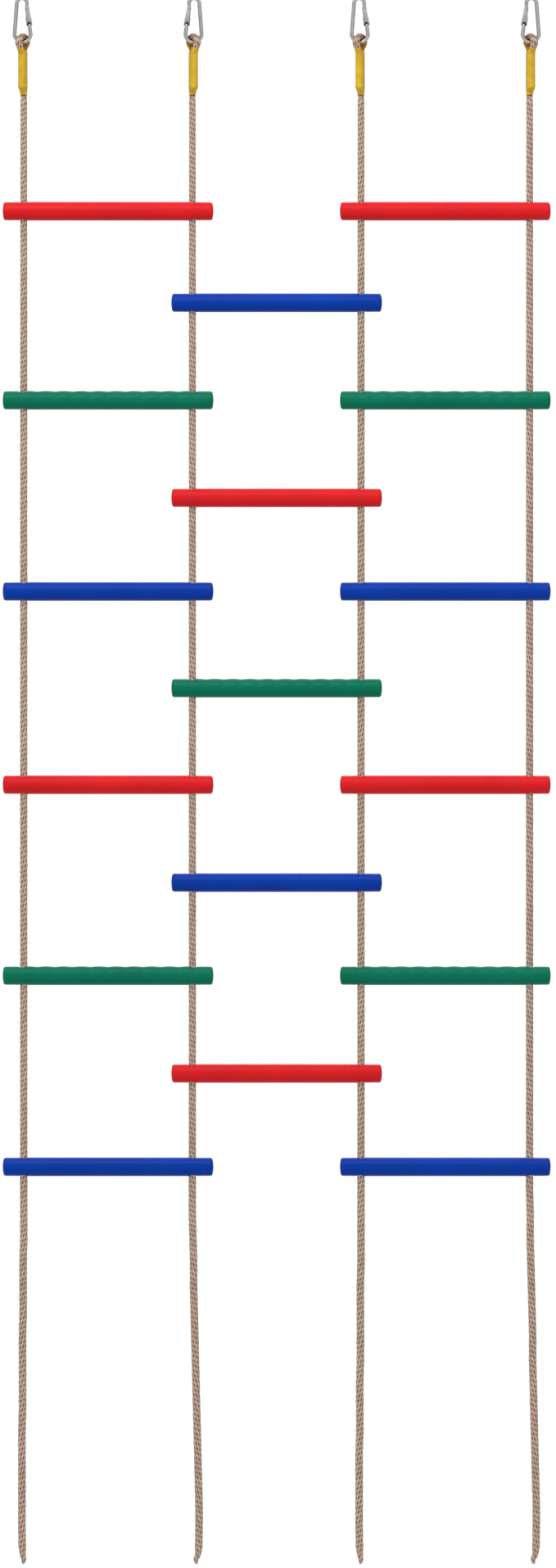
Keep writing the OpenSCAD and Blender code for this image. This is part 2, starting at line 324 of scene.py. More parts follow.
def sleeve_material():
    """Shrunk yellow tubing: glossy, a little uneven, darker where it is thick."""
    s = Shader("sleeve_yellow", Specular_IOR_Level=0.3, Subsurface_Weight=0.1,
               Subsurface_Radius=(0.002, 0.001, 0.0002))
    cloud = s.noise(60, 3)
    s.use(Base_Color=s.ramp(cloud, (0.3, (0.55, 0.33, 0.008)), (0.7, (0.68, 0.44, 0.02))))
    s.use(Roughness=s.scaled(s.noise(300, 3), 0.36, 0.52))
    s.bump(s.noise(260, 3), 0.25, 0.0006)
    return s.material


def floor_material():
    """Plain pale studio floor."""
    s = Shader("floor", Specular_IOR_Level=0.1)
    tone = s.noise(1.5, 2)
    s.use(Base_Color=s.ramp(tone, (0.3, (0.7, 0.7, 0.7)), (0.7, (0.72, 0.72, 0.71))))
    s.use(Roughness=s.scaled(tone, 0.8, 0.9))
    return s.material


make_floor(cad_bounds[0][2] - FLOOR_GAP)

MATERIALS = {
    "rung_red": plastic("rung_red", (0.67, 0.012, 0.016)),
    "rung_green": plastic("rung_green", (0.0, 0.16, 0.088)),
    "rung_blue": plastic("rung_blue", (0.0, 0.039, 0.345)),
    "rope": rope_material(),
    "zinc_steel": metal("zinc_steel", (0.585, 0.59, 0.57), 0.27),
    "zinc_sheet": metal("zinc_sheet", (0.53, 0.53, 0.515), 0.46),
    "screw_steel": metal("screw_steel", (0.6, 0.6, 0.6), 0.3),
    "spring_steel": metal("spring_steel", (0.45, 0.45, 0.46), 0.35),
    "sleeve_yellow": sleeve_material(),
}


# ---------------------------------------------------------------- mesh helpers
CURVE_STEPS = 12


def new_piece(name, vertices, faces, slot):
    """A smooth piece of the visual, finished with the material of its slot."""
    mesh = bpy.data.meshes.new(name)
    mesh.from_pydata([tuple(v) for v in vertices], [], [tuple(f) for f in faces])
    mesh.update()
    mesh.polygons.foreach_set("use_smooth", [True] * len(mesh.polygons))
    mesh.materials.append(MATERIALS[slot])
    piece = bpy.data.objects.new(name, mesh)
    bpy.context.scene.collection.objects.link(piece)
    return piece


def grid_faces(rings, around):
    """Quads between successive rings of the same number of points."""
    i = np.arange(around)
    j = np.arange(rings - 1)[:, None]
    a, b = j * around + i, j * around + (i + 1) % around
    return np.stack([a, a + around, b + around, b], axis=-1).reshape(-1, 4)


def paint(mesh, name, values):
    """Stores a value at each point for the material. Points past the last value keep 0."""
    filled = np.zeros(len(mesh.vertices), np.float32)
    filled[: values.size] = values.reshape(-1)
    mesh.attributes.new(name, "FLOAT", "POINT").data.foreach_set("value", filled)


def smoothstep(t):
    """An even rise from 0 to 1 while t goes from 0 to 1."""
    t = np.clip(t, 0, 1)
    return t * t * (3 - 2 * t)


def resample(points, step):
    """A Catmull-Rom curve through the points, sampled evenly, and its length at each sample."""
    p = np.array(points, float)
    p = np.vstack([2 * p[0] - p[1], p, 2 * p[-1] - p[-2]])
    fine = []
    for a, b, c, d in zip(p, p[1:], p[2:], p[3:]):
        for t in np.linspace(0, 1, CURVE_STEPS, endpoint=False):
            fine.append(
                0.5 * (2 * b + (c - a) * t + (2 * a - 5 * b + 4 * c - d) * t**2
                       + (3 * b - a - 3 * c + d) * t**3)
            )
    fine = np.array(fine + [p[-2]])
    along = np.concatenate([[0], np.cumsum(np.linalg.norm(np.diff(fine, axis=0), axis=1))])
    count = max(2, round(along[-1] / step) + 1)
    at = np.linspace(0, along[-1], count)
    return np.stack([np.interp(at, along, fine[:, k]) for k in range(3)], axis=1), at


# ---------------------------------------------------------------- braided rope
# Each strand shows on the rope as a row of floats: long beads of yarn that lean with the lay
ROPE_R = 6.0 * MM
STRANDS = 10
PER_STRAND = 6
AROUND = STRANDS * PER_STRAND
STRAND_WIDTH = 2 * math.pi * ROPE_R / STRANDS
LAY_SLOPE = math.tan(math.radians(32))
FLOAT_LENGTH = 11.0 * MM
FLOAT_SHIFT = FLOAT_LENGTH * 2 / STRANDS
FLOAT_HALF_WIDTH = 1.9 * MM
FLOAT_HALF_LENGTH = 7.2 * MM
FLOAT_TILT = math.radians(8)
BRAID_RELIEF = 0.2
RING_STEP = 2.0 * MM
BEADS = 512
BEAD_TABLE = np.random.default_rng(7).uniform(0, 1, (STRANDS, BEADS))
BEAD_UNEVEN = 0.22
# The rope's radius at depths in metres below the hanging line
ROPE_SIZES = {0.18: 5.9 * MM, 0.6: 6.35 * MM, 1.9: 6.5 * MM, 2.1: 6.85 * MM}


def bead_tone(strand, count):
    """A value from 0 to 1 of its own for each bead of yarn."""
    return BEAD_TABLE[np.mod(strand, STRANDS).astype(int), np.mod(count, BEADS).astype(int)]


def braid_height(along):
    """How high the yarn stands at each ring and each of the AROUND points, from 0 to 1."""
    strand = np.arange(AROUND) / PER_STRAND
    s = along[:, None]
    best = np.zeros((len(along), AROUND))
    cosine = math.cos(math.atan(LAY_SLOPE))
    for neighbour in (-1, 0, 1):
        i = np.round(strand) + neighbour
        across = (strand - i) * STRAND_WIDTH * cosine
        turns = (s - FLOAT_SHIFT * i) / FLOAT_LENGTH
        for other in (-1, 0, 1):
            lengthwise = (turns - np.round(turns) + other) * FLOAT_LENGTH / cosine
            u = across * math.cos(FLOAT_TILT) + lengthwise * math.sin(FLOAT_TILT)
            v = lengthwise * math.cos(FLOAT_TILT) - across * math.sin(FLOAT_TILT)
            dome = 1 - (u / FLOAT_HALF_WIDTH) ** 2 - (v / FLOAT_HALF_LENGTH) ** 2
            rise = 1 - BEAD_UNEVEN * bead_tone(i, np.round(turns) - other)
            best = np.maximum(best, rise * np.sqrt(np.clip(dome, 0, None)))
    return best


def carried_frames(points, first_across):
    """Directions across the rope at each ring, carried along it without twisting."""
    tangents = np.gradient(points, axis=0)
    tangents /= np.linalg.norm(tangents, axis=1)[:, None]
    across = np.zeros_like(points)
    previous = np.array(first_across, float)
    for k, t in enumerate(tangents):
        previous = previous - (previous @ t) * t
        previous /= np.linalg.norm(previous)
        across[k] = previous
    return across, np.cross(tangents, across)


def rope_frames(points, carried_up):
    """Directions to the right and to the front at each ring, carried from one end of the rope."""
    if not carried_up:
        return carried_frames(points, (1, 0, 0))
    right, front = carried_frames(points[::-1], (1, 0, 0))
    return right[::-1], -front[::-1]


def tip_faces(ring, tip, turned):
    """A fan that closes one end of the rope onto its tip."""
    first = ring * AROUND
    fans = [(first + i, tip, first + (i + 1) % AROUND) for i in range(AROUND)]
    return [fan[::-1] for fan in fans] if turned else fans


def paint_lay(mesh, along):
    """Stores where each point lies round and along the rope, in mm, for the fibres."""
    lay = np.zeros((len(mesh.vertices), 3), np.float32)
    strand = np.arange(AROUND) * STRAND_WIDTH / PER_STRAND / MM
    painted = len(along) * AROUND
    lay[:painted, 0] = np.tile(strand, len(along))
    lay[:painted, 1] = np.repeat(along / MM, AROUND)
    mesh.attributes.new("lay", "FLOAT_VECTOR", "POINT").data.foreach_set("vector", lay.reshape(-1))


def braided_rope(name, points, along, radii, sense, closed_start=False, closed_end=False,
                 carried_up=False, amber_tint=0, spread=0, painted_shade=0):
    """A braided rope through the points, top to bottom. along is each ring's place on the whole
    rope, so neighbouring lengths meet strand to strand. sense is the way the strands lean.
    The amber tint argument is how far each ring is tinted amber, spread how much wider it is pressed,
    and the shade argument how far painted shade darkens it."""
    right, front = rope_frames(points, carried_up)
    height = braid_height(along)
    turn = sense * (2 * math.pi * np.arange(AROUND) / AROUND + LAY_SLOPE * along[:, None] / ROPE_R)
    radius = radii[:, None] * (1 - BRAID_RELIEF * (1 - height))
    vertices = points[:, None] + radius[..., None] * (
        np.sin(turn)[..., None] * right[:, None] * (1 + np.reshape(spread, (-1, 1, 1)))
        + np.cos(turn)[..., None] * front[:, None]
    )
    vertices = vertices.reshape(-1, 3).tolist()
    rings = len(points)
    faces = grid_faces(rings, AROUND)[:, ::sense].tolist()
    if closed_start:
        faces += tip_faces(0, len(vertices), sense > 0)
        vertices.append(points[0] + (points[0] - points[1]) / 2)
    if closed_end:
        faces += tip_faces(rings - 1, len(vertices), sense < 0)
        vertices.append(points[-1] + (points[-1] - points[-2]) / 2)
    piece = new_piece(name, vertices, faces, "rope")
    # Painted shade: the yarn is darker where the braid sinks, and darker still where painted shade is
    # asked for.
    paint(piece.data, "braid_shading", height * (1 - np.reshape(painted_shade, (-1, 1))))
    paint(piece.data, "amber_tint", np.repeat(np.broadcast_to(amber_tint, rings), AROUND))
    paint_lay(piece.data, along)
    return piece


def rope_radius(depth):
    """The rope is stretched thin at the top and slack at the bottom."""
    return np.interp(depth, list(ROPE_SIZES), list(ROPE_SIZES.values()))


# ---------------------------------------------------------------- free tails
# The tails' routes, as in the part: how far each wanders sideways, every 40 mm down, then its tip
TAIL_WANDER = {
    1: (0, 0, 0, -1, -1, -1, -2, -2, -2, -2, -3, -3, -3, -3, -3, -2),
    2: (0, 0, 1, 2, 2, 3, 4, 5, 6, 7, 8, 9, 10, 11, 11, 10),
    3: (0, 0, 0, 0, -1, -1, -1, -1, -2, -2, -2, -3, -3, -3, -3, -2),
    4: (0, 1, 1, 2, 3, 4, 5, 5, 6, 7, 8, 9, 10, 11, 11, 10),
}
# The tip's place and how it leans over its last stretch
TAIL_TIP = {1: (-1, 0.5), 2: (7, -0.5), 3: (-1, 0.5), 4: (7, -0.5)}
TAIL_STEP = 0.04
TAIL_LENGTH = 0.622
TAIL_TAPER = 0.03
TIP_BEND = 0.01
TIP_GAP = 0.002
TAIL_TIP_SHARE = 0.26


def tail_route(n):
    """Down from the middle of the lowest row's rung to the tip."""
    x, z = ROPE_X[n], FOLD_Z[LAST_ROW]
    points = [(x, 0, ROW_Z[LAST_ROW])]
    points += [(x + dx * MM, 0, z - i * TAIL_STEP) for i, dx in enumerate(TAIL_WANDER[n])]
    tip, lean = TAIL_TIP[n]
    points.append((x + (tip + 2 * lean) * MM, 0, z - TAIL_LENGTH + TIP_BEND))
    points.append((x + tip * MM, 0, z - TAIL_LENGTH + TIP_GAP))
    return points


def make_tail(n):
    """A free tail: it tapers to a sealed tip."""
    points, at = resample(tail_route(n), RING_STEP)
    start = -ROW_Z[LAST_ROW]
    radii = rope_radius(start + at)
    taper = np.sqrt(np.clip((at[-1] - at) / TAIL_TAPER, 0, 1))
    radii = radii * (TAIL_TIP_SHARE + (1 - TAIL_TIP_SHARE) * taper)
    piece = braided_rope(f"tail_rope_{n}", points, start + at, radii, -hand(n), closed_end=True)
    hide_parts(f"tail_{n}")
    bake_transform(piece)


for n in ROPES:
    make_tail(n)


# ---------------------------------------------------------------- ropes between the rows
def make_rope_length(n, k):
    """Rope n from row k to row k + 1."""
    steps = round((ROW_Z[k] - ROW_Z[k + 1]) / RING_STEP)
    depth = np.linspace(-ROW_Z[k], -ROW_Z[k + 1], steps + 1)
    points = np.stack([np.full_like(depth, ROPE_X[n]), np.zeros_like(depth), -depth], axis=1)
    piece = braided_rope(f"rope_{n}_{k}", points, depth, rope_radius(depth), -hand(n))
    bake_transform(piece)
    return piece


for k in range(1, LAST_ROW):
    lengths = [make_rope_length(n, k) for n in ROPES]
    if k > 1:
        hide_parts(f"ropes_{k}")
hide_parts(f"ropes_{LAST_ROW}")


# ---------------------------------------------------------------- rope eyes
# Places in the eye are depths below the hanging line, and distances across its two legs. The
# rope is pressed wide on the bow from PRESSED_TO up, and is round again at PRESS_END. The eye's
# middle stands BOW_X to the side at the bow, and its legs LEG_SHIFT to the side in the sleeve.
EYE_ROPE_R = 5.6 * MM
SLEEVED_ROPE_R = 5.2 * MM
PRESSED = 0.2
PRESSED_TO = 66 * MM
PRESS_END = 80 * MM
BOW_X = -2.2 * MM
LEG_SHIFT = -1.5 * MM
LOOP_DEPTH = 70.5 * MM
LOOP_HALF = 14.0 * MM
LOOP_RISE = 9.9 * MM
LOOP_TURN = math.radians(27)
LEG_HALF = 6.0 * MM
LEG_TURN = math.radians(12)
CLOSE_DEPTH = 90 * MM
RETURN_END = 145.5 * MM
SETTLE_START = 138 * MM
SETTLE_END = 172 * MM
SLEEVE_END = 157 * MM
RIM_FRONT = 78.5 * MM


def closing(depth):
    """How far the eye's two legs have come together at a depth, from 0 to 1."""
    return float(smoothstep((depth - LOOP_DEPTH) / (CLOSE_DEPTH - LOOP_DEPTH)))


def leg_across(depth):
    """How far each leg of the eye stands from the middle between them."""
    return LOOP_HALF + (LEG_HALF - LOOP_HALF) * closing(depth)


def settling(depth):
    """How far the standing leg has come back to the rope's own line."""
    return float(smoothstep((depth - SETTLE_START) / (SETTLE_END - SETTLE_START)))


def eye_line(depth):
    """The way from the returned leg to the standing one, and the middle between them, in XY."""
    turn = LOOP_TURN + (LEG_TURN - LOOP_TURN) * closing(depth)
    shift = BOW_X * (1 - closing(depth)) + LEG_SHIFT * closing(depth) * (1 - settling(depth))
    return np.array([math.sin(turn), math.cos(turn)]), np.array([shift, 0])


def eye_point(n, across, depth):
    """A place in rope n's eye. across is negative on the returned leg's side."""
    line, centre = eye_line(depth)
    x, y = centre + across * line
    return (ROPE_X[n] + hand(n) * x, y, -depth)


def eye_route(n):
    """Up the returned leg, over the hook's bow, down the standing leg and on to row 1."""
    up = [eye_point(n, -LEG_HALF, d * MM) for d in (RETURN_END / MM, 130, 115, 103, 96)]
    up += [eye_point(n, -leg_across(d * MM), d * MM) for d in (91, 88, 84, 80, 76, 73)]
    turns = np.radians(np.arange(180, -1, -15))
    over = [eye_point(n, LOOP_HALF * math.cos(a), LOOP_DEPTH - LOOP_RISE * math.sin(a)) for a in turns]
    down = [eye_point(n, leg_across(d * MM), d * MM) for d in (73, 76, 80, 84, 88)]
    depths = (93, 102, 112, 122, 132, 140, 147, 154, 161, 168, 175, 185, 200, 230, 270, 310)
    down += [eye_point(n, LEG_HALF * (1 - settling(d * MM)), d * MM) for d in depths]
    return up + over + down + [(ROPE_X[n], 0, ROW_Z[1])]


EYE_STEP = 1.6 * MM
# Places along the eye's rope, from its returned end: the end is rounded, the standing leg is tinted
# amber, and painted shade darkens the crest that bears on the bow
END_ROUND = 4 * MM
END_SHARE = 0.75
TINT_START = 84 * MM
TINT_FULL = 110 * MM
TINT_END = 160 * MM
CREST_AT = 99 * MM
CREST_LENGTH = 13 * MM
CREST_SHADE = 0.55
# A dark ring of painted shade round the rope where it leaves the sleeve, with an amber tint
RING_DEPTH = 158.0 * MM
RING_LENGTH = 2.9 * MM
RING_TINT = 0.55
RING_SHADE = 0.7


def eye_radii(at, depth, standing):
    """The rope's radius through the eye: squeezed in the sleeve, and its full size below it."""
    eased = smoothstep((depth - SLEEVE_END) / (SETTLE_END - SLEEVE_END)) * standing
    sleeved = smoothstep((depth - LOOP_DEPTH) / (RIM_FRONT - LOOP_DEPTH)) * (1 - eased)
    radii = EYE_ROPE_R + (rope_radius(depth) - EYE_ROPE_R) * eased
    radii += (SLEEVED_ROPE_R - EYE_ROPE_R) * sleeved
    return radii * (END_SHARE + (1 - END_SHARE) * np.clip(at / END_ROUND, 0, 1))


def make_eye(n):
    points, at = resample(eye_route(n), EYE_STEP)
    depth = -points[:, 2]
    standing = at > TINT_START
    pressed = smoothstep((PRESS_END - depth) / (PRESS_END - PRESSED_TO))
    amber_tint = smoothstep((at - TINT_START) / (TINT_FULL - TINT_START)) * (at < TINT_END)
    ring = standing * np.exp(-(((depth - RING_DEPTH) / RING_LENGTH) ** 4))
    crest = np.exp(-(((at - CREST_AT) / CREST_LENGTH) ** 2))
    # Painted shade darkens the crest on the bow and the ring under the sleeve's foot.
    piece = braided_rope(
        f"rope_eye_{n}", points, at - at[-1] - ROW_Z[1], eye_radii(at, depth, standing), -hand(n),
        closed_start=True, carried_up=True, amber_tint=np.maximum(amber_tint, RING_TINT * ring),
        spread=PRESSED * pressed, painted_shade=RING_SHADE * ring + CREST_SHADE * crest,
    )
    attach(piece, "band_1")
    return piece


eyes = [make_eye(n) for n in ROPES]
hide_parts("rope_eyes", "ropes_1")


# ---------------------------------------------------------------- sleeves
# The rim is highest at the front, lower at the back and notched on one side. Angles round the
# sleeve are in radians from its front.
SLEEVE_WALL = 0.6 * MM
SLEEVE_R = 6.5 * MM
SLEEVE_END_R = 6.0 * MM
SLEEVE_AROUND = 96
SLEEVE_RINGS = 90
RIM_R = 5.9 * MM
RIM_NOTCH = 87.5 * MM
RIM_BACK = 83 * MM
NOTCH_AT = 1.7
NOTCH_SPREAD = 0.95
BACK_START = 0.55
BACK_SPREAD = 0.4
SEIZING_DEPTHS = (101 * MM, 129 * MM)
SEIZING_REACH = 6 * MM
GROOVE = 0.35 * MM
STEP_LENGTH = 9 * MM
RUCK_RISE = 3 * MM
RUCK_LENGTH = 2.2 * MM
RUCK_DEPTH = 0.4 * MM
PLEATS = 6
PLEAT_DEPTH = 0.16 * MM
PLEAT_SLANT = 6 * MM


def sleeve_rim(angle):
    """Depth of the sleeve's top rim at an angle round it: 0 is the front and pi the back."""
    back = 0.5 - 0.5 * math.cos(angle)
    rim = RIM_FRONT + (RIM_BACK - RIM_FRONT) * float(smoothstep((back - BACK_START) / BACK_SPREAD))
    return rim + (RIM_NOTCH - RIM_FRONT) * math.exp(-(((angle - NOTCH_AT) / NOTCH_SPREAD) ** 2))


def narrowing(depth):
    """How far the sleeve has narrowed past the returned end of the rope, from 0 to 1."""
    return float(smoothstep((depth - RETURN_END) / STEP_LENGTH))


def leg_centres(depth):
    """The way across the eye's two legs at a depth and both their centres, in XY from the rope's
    line. Below the returned end the first one closes up on the other."""
    line, centre = eye_line(depth)
    half = leg_across(depth)
    rear = half if depth < CLOSE_DEPTH else LEG_HALF * (1 - settling(depth))
    gone = narrowing(depth)
    front = -half * (1 - gone) + rear * gone
    return line, centre + line * front, centre + line * rear


def sleeve_radius(depth, angle):
    """The sleeve's outer radius: it fills out below the rim, and past the returned end it rucks
    up at the front and shrinks into pleats."""
    end = narrowing(depth)
    snug = float(smoothstep((depth - RIM_FRONT) / (CLOSE_DEPTH - RIM_FRONT)))
    ruck = math.exp(-(((depth - RETURN_END + RUCK_RISE) / RUCK_LENGTH) ** 2))
    ruck -= math.exp(-(((depth - RETURN_END - RUCK_RISE) / RUCK_LENGTH) ** 2))
    pleats = PLEAT_DEPTH * end * math.sin(PLEATS * angle + depth / PLEAT_SLANT)
    radius = RIM_R + (SLEEVE_R - RIM_R) * snug + (SLEEVE_END_R - SLEEVE_R) * end
    return radius + RUCK_DEPTH * ruck * (0.5 + 0.5 * math.cos(angle)) + pleats


def groove(depth, along):
    """How deep the sleeve sinks between the legs, along the way from one to the other. The
    seizings under it hold it out."""
    clamped = max(math.exp(-(((depth - d) / SEIZING_REACH) ** 4)) for d in SEIZING_DEPTHS)
    return GROOVE * (1 - clamped) * math.sin(math.pi * along) ** 2


def sleeve_section(depth, angle, inset):
    """The sleeve's point at a depth and an angle round it: round each leg, and a little sunk
    into the groove between them."""
    line, front, rear = leg_centres(depth)
    side = np.array([line[1], -line[0]])
    radius = sleeve_radius(depth, angle) - inset
    half = np.linalg.norm(rear - front) / 2
    slope = (leg_across(depth - MM) - leg_across(depth + MM)) / (2 * MM)
    reach = radius * math.hypot(1, slope)
    around = 2 * math.pi * radius + 4 * half
    way = (angle / (2 * math.pi) * around) % around
    mirrored = way > around / 2
    way = around - way if mirrored else way
    bend = math.pi * radius / 2
    if way < bend:
        turn = way / radius
        point = front - line * reach * math.cos(turn) + side * radius * math.sin(turn)
    elif way < bend + 2 * half:
        along = (way - bend) / (2 * half)
        point = front + line * 2 * half * along + side * (radius - groove(depth, along))
    else:
        turn = (way - bend - 2 * half) / radius
        point = rear + side * radius * math.cos(turn) + line * reach * math.sin(turn)
    if mirrored:
        point = point - 2 * side * ((point - front) @ side)
    return point


def make_sleeve(n):
    """Outer wall down from the rim, then inner wall back up, joined at both ends."""
    angles = 2 * math.pi * np.arange(SLEEVE_AROUND) / SLEEVE_AROUND
    top = np.array([sleeve_rim(a) for a in angles])
    vertices = []
    for inset, order in ((0, 1), (SLEEVE_WALL, -1)):
        for step in np.arange(SLEEVE_RINGS)[::order] / (SLEEVE_RINGS - 1):
            for angle, depth in zip(angles, top + (SLEEVE_END - top) * step):
                x, y = sleeve_section(depth, angle, inset)
                vertices.append((ROPE_X[n] + hand(n) * x, y, -depth))
    rings = 2 * SLEEVE_RINGS
    faces = grid_faces(rings, SLEEVE_AROUND).tolist()
    last = (rings - 1) * SLEEVE_AROUND
    for i in range(SLEEVE_AROUND):
        j = (i + 1) % SLEEVE_AROUND
        faces.append((last + i, i, j, last + j))
    if hand(n) < 0:
        faces = [f[::-1] for f in faces]
    piece = new_piece(f"sleeve_{n}", vertices, faces, "sleeve_yellow")
    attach(piece, "band_1")
    return piece


sleeves = [make_sleeve(n) for n in ROPES]
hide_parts("eye_sleeves")


# ---------------------------------------------------------------- rungs
RUNG_LENGTH = 350 * MM
RUNG_R = 15.5 * MM
RUNG_WALL = 3 * MM
RUNG_CORNER = 5 * MM
BORE_CORNER = 1.5 * MM
RUNG_SLIM = 0.45 * MM
SLIM_START = 132 * MM
SLIM_LENGTH = 30 * MM
END_DOME = 1.0 * MM
HOLE_R = 7.2 * MM
HOLE_X = 140.8 * MM
HOLE_CUT = 40 * MM
SCREW_HOLE_R = 1.85 * MM
SCREW_X = 140 * MM
SCREW_CUT = 20 * MM
SCREW_CUT_Y = 14 * MM
SHARP_FROM = math.radians(35)
SMOOTH_BELOW = math.radians(40)
WAVE_PITCH = 29.2 * MM
WAVE_DEPTH = 0.9 * MM
WAVE_SHARPNESS = 1.5
WAVE_MARGIN = 20 * MM
WAVE_FADE = 15 * MM
GRIP_TURN = math.radians(20)
GRIP_EDGE = 0.1
GRIP_SPREAD = 0.8
EDGE_ROUND = 0.6 * MM
RUNG_AROUND = 72
RUNG_STATIONS = 96


def rung_profile(inset):
    """(x, radius) down one half of the rung, from its middle to its end's centre."""
    half = RUNG_LENGTH / 2 - inset
    radius = RUNG_R - inset
    corner = max(RUNG_CORNER - inset, BORE_CORNER)
    straight = np.linspace(0, half - corner, RUNG_STATIONS)
    slim = RUNG_SLIM * smoothstep((straight - SLIM_START) / SLIM_LENGTH)
    body = [(x, radius - s) for x, s in zip(straight, slim)]
    turns = np.linspace(0, math.pi / 2, 10)[1:]
    end = radius - RUNG_SLIM - corner
    reach = corner - END_DOME
    body += [(half - corner + reach * math.sin(a), end + corner * math.cos(a)) for a in turns]
    domes = np.linspace(1, 0, 6)[1:]
    body += [(half - END_DOME + END_DOME * (1 - r * r), end * r) for r in domes]
    return np.array(body)


def rung_skin(mesh, inset, waves):
    """One closed surface of revolution about X, with the waves of a hand grip along its top."""
    half = rung_profile(inset)
    profile = np.vstack([half[::-1] * (-1, 1), half[1:]])
    angles = 2 * math.pi * np.arange(RUNG_AROUND) / RUNG_AROUND
    grip = smoothstep((np.cos(angles - GRIP_TURN) + GRIP_EDGE) / GRIP_SPREAD) * waves
    rings = []
    for x, r in profile[1:-1]:
        ripple = (0.5 + 0.5 * math.cos(2 * math.pi * x / WAVE_PITCH)) ** WAVE_SHARPNESS
        fade = float(smoothstep((RUNG_LENGTH / 2 - WAVE_MARGIN - abs(x)) / WAVE_FADE))
        radius = r - WAVE_DEPTH * ripple * grip * fade
        places = [(x, -q * math.sin(a), q * math.cos(a)) for q, a in zip(radius, angles)]
        rings.append([mesh.verts.new(p) for p in places])
    for one, other in zip(rings, rings[1:]):
        for i in range(RUNG_AROUND):
            j = (i + 1) % RUNG_AROUND
            mesh.faces.new((one[i], one[j], other[j], other[i]))
    for ring, x in ((rings[0], profile[0][0]), (rings[-1], profile[-1][0])):
        tip = mesh.verts.new((x, 0, 0))
        for i in range(RUNG_AROUND):
            mesh.faces.new((ring[i], ring[(i + 1) % RUNG_AROUND], tip))
    return mesh


def temporary(name, mesh):
    """An object made of a bmesh, with its faces turned outward."""
    data = bpy.data.meshes.new(name)
    bmesh.ops.recalc_face_normals(mesh, faces=mesh.faces)
    mesh.to_mesh(data)
    mesh.free()
    thing = bpy.data.objects.new(name, data)
    bpy.context.scene.collection.objects.link(thing)
    return thing


def drill(name, radius, depth, place, direction, segments=48):
    """A round cutter, its middle at a place."""
    mesh = bmesh.new()
    bmesh.ops.create_cone(mesh, cap_ends=True, segments=segments, radius1=radius, radius2=radius,
                          depth=depth)
    thing = temporary(name, mesh)
    turn = Vector((0, 0, 1)).rotation_difference(Vector(direction)).to_matrix().to_4x4()
    thing.data.transform(turn)
    thing.data.transform(Matrix.Translation(place))
    return thing


def cut(thing, cutter, operation="DIFFERENCE"):
    """Applies an exact boolean, and removes the cutter."""
    modifier = thing.modifiers.new("cut", "BOOLEAN")
    modifier.operation = operation
    modifier.solver = "EXACT"
    modifier.object = cutter
    settle(thing)
    bpy.data.objects.remove(cutter)


def settle(thing):
    """Applies all of a piece's modifiers."""
    view = bpy.context.evaluated_depsgraph_get()
    view.update()
    mesh = bpy.data.meshes.new_from_object(thing.evaluated_get(view))
    thing.modifiers.clear()
    thing.data = mesh


def soften(thing, width):
    """Rounds a piece's sharp edges."""
    bevel = thing.modifiers.new("soften", "BEVEL")
    bevel.width = width
    bevel.segments = 2
    bevel.angle_limit = SHARP_FROM
    bevel.use_clamp_overlap = True
    settle(thing)


def smooth_by_angle(mesh):
    """Smooth all over, save where faces meet at a sharp edge."""
    mesh.polygons.foreach_set("use_smooth", [True] * len(mesh.polygons))
    mesh.set_sharp_from_angle(angle=SMOOTH_BELOW)


def rung_mesh(waves):
    """A hollow rung about the origin, with its rope holes and screw holes. waves is 0 or 1."""
    outer = temporary("rung", rung_skin(bmesh.new(), 0, waves))
    inner = temporary("bore", rung_skin(bmesh.new(), RUNG_WALL, 0))
    cut(outer, inner)
    for side in (-1, 1):
        cut(outer, drill("hole", HOLE_R, HOLE_CUT, (side * HOLE_X, 0, 0), (0, 0, 1)))
        back = (side * SCREW_X, SCREW_CUT_Y, 0)
        cut(outer, drill("screw", SCREW_HOLE_R, SCREW_CUT, back, (0, 1, 0), 24))
    soften(outer, EDGE_ROUND)
    mesh = outer.data
    smooth_by_angle(mesh)
    bpy.data.objects.remove(outer)
    return mesh


PLAIN_RUNG = rung_mesh(waves=0)
WAVED_RUNG = rung_mesh(waves=1)
SIDE_SLOTS = ("rung_red", "rung_green", "rung_blue")
MIDDLE_SLOTS = ("rung_blue", "rung_red", "rung_green")


def make_rung(column, i, slot):
    """A moulded rung in place of the plain one. The side columns have the odd rows."""
    node = f"rung_{column}_{i}"
    mesh = (WAVED_RUNG if slot == "rung_green" else PLAIN_RUNG).copy()
    mesh.transform(Matrix.Translation(middle(node)))
    mesh.materials.clear()
    mesh.materials.append(MATERIALS[slot])
    piece = bpy.data.objects.new(f"moulded_{node}", mesh)
    bpy.context.scene.collection.objects.link(piece)
    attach(piece, f"band_{2 * i if column == 'middle' else 2 * i - 1}")
    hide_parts(node)


for i in range(1, 7):
    make_rung("left", i, SIDE_SLOTS[(i - 1) % 3])
    make_rung("right", i, SIDE_SLOTS[(i - 1) % 3])
for i in range(1, 6):
    make_rung("middle", i, MIDDLE_SLOTS[(i - 1) % 3])


# ---------------------------------------------------------------- hooks
BAR_R = 3.2 * MM
UPPER_BOW = np.array([-3.0, -5.3]) * MM
UPPER_BOW_R = 8.5 * MM
UPPER_BOW_END = -12
LOWER_BOW = np.array([-1.95, -56.15]) * MM
LOWER_BOW_R = 13.35 * MM
NOSE_TIP = np.array([9.2, -38.5]) * MM
NOSE_NECK = 5 * MM
NOSE_R = 2.9 * MM
GATE_PIN = np.array([5.6, -13.0]) * MM
NECK_LENGTH = 2.5 * MM
TANG_HALF_WIDTH = 3.0 * MM
TANG_HALF_THICKNESS = 1.5 * MM
TANG_START = 7 * MM
TANG_LENGTH = 9 * MM
TANG_EDGE_SHARE = 0.75
CAP_LEAST = 0.0004
HOOK_AROUND = 40
HOOK_STEP = 0.9 * MM


def arc(centre, radius, start, end, count=16):
    """Points round an arc between two angles in degrees."""
    angles = np.radians(np.linspace(start, end, count))
    return [centre + radius * np.array([math.cos(a), math.sin(a)]) for a in angles]


